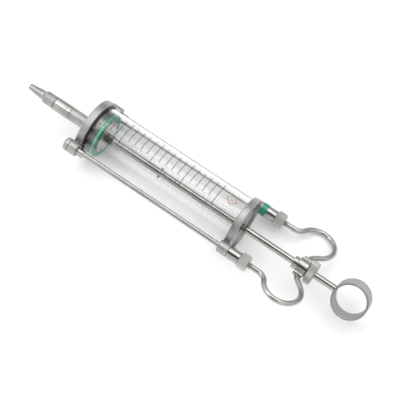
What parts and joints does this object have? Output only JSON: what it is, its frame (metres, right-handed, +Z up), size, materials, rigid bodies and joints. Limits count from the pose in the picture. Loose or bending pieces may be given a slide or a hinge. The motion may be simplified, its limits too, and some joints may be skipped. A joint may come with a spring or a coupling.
{
  "type": "three-ring irrigation syringe",
  "caption": "Glass and metal syringe with tie rods, two bent wire finger hooks, a thumb ring, a knurled rod gland and a tapered screw-on nozzle.",
  "frame": {"origin": "on the table, under the middle of the syringe's length and right below its axis", "axes": "+X from the nozzle to the thumb ring along the syringe's axis, +Y to the finger hook that touches the table, +Z up from the table"},
  "size_m": [0.286, 0.0754, 0.045],
  "materials": {
    "satin_steel": "satin, fine turning and handling marks",
    "polished_steel": "polished, drawn bar",
    "clear_glass": "clear, ground ends",
    "black_rubber": "matte",
    "green_rubber": "satin silicone",
    "green_enamel": "glossy coloured band",
    "white_packing": "matte",
    "brass": "turned"
  },
  "bodies": {
    "syringe_frame": {"nozzle_socket": "satin_steel", "front_cap": "satin_steel", "front_gasket": "black_rubber", "glass_barrel": "clear_glass", "rear_gasket": "black_rubber", "rear_cover": "satin_steel", "rear_cap": "satin_steel", "green_band": "green_enamel", "tie_rod_low": "polished_steel", "tie_rod_high": "polished_steel", "coupling_sleeve_low": "satin_steel", "coupling_sleeve_high": "satin_steel", "lock_nut_low": "satin_steel", "lock_nut_high": "satin_steel", "finger_hook_low": "polished_steel", "finger_hook_high": "polished_steel", "rod_guide": "satin_steel", "rod_packing": "white_packing"},
    "piston_seal": {"piston_seal": "green_rubber"},
    "plunger": {"piston_body": "polished_steel", "piston_backing_disc": "polished_steel", "piston_nut": "polished_steel", "rod_collar": "polished_steel", "plunger_rod": "polished_steel", "rod_pin": "polished_steel", "thumb_ring": "satin_steel"},
    "nozzle_washer": {"nozzle_washer": "black_rubber"},
    "nozzle": {"nozzle_tip": "satin_steel"},
    "gland_follower": {"gland_follower": "brass"},
    "knurled_nut": {"knurled_nut": "satin_steel"}
  },
  "joints": [
    {"name": "plunger_stroke", "type": "slide", "parent": "syringe_frame", "child": "piston_seal", "axis": [1, 0, 0], "range_m": [0, 0.108]},
    {"name": "plunger_turn", "type": "hinge", "parent": "piston_seal", "child": "plunger", "pos_m": [-0.07835, 0, 0.0225], "axis": [1, 0, 0], "continuous": true},
    {"name": "nozzle_advance", "type": "slide", "parent": "syringe_frame", "child": "nozzle_washer", "axis": [-1, 0, 0], "range_m": [0, 0.007]},
    {"name": "nozzle_turn", "type": "hinge", "parent": "nozzle_washer", "child": "nozzle", "pos_m": [-0.1202, 0, 0.0225], "axis": [-1, 0, 0], "range_deg": [0, 2522]},
    {"name": "gland_advance", "type": "slide", "parent": "syringe_frame", "child": "gland_follower", "axis": [1, 0, 0], "range_m": [0, 0.0024]},
    {"name": "gland_turn", "type": "hinge", "parent": "gland_follower", "child": "knurled_nut", "pos_m": [0.09755, 0, 0.0225], "axis": [1, 0, 0], "range_deg": [0, 1081]}
  ],
  "couplings": [
    {"joint": "nozzle_turn", "follows": "nozzle_advance", "rad_per_m": 6283.2},
    {"joint": "gland_turn", "follows": "gland_advance", "rad_per_m": 7854}
  ]
}
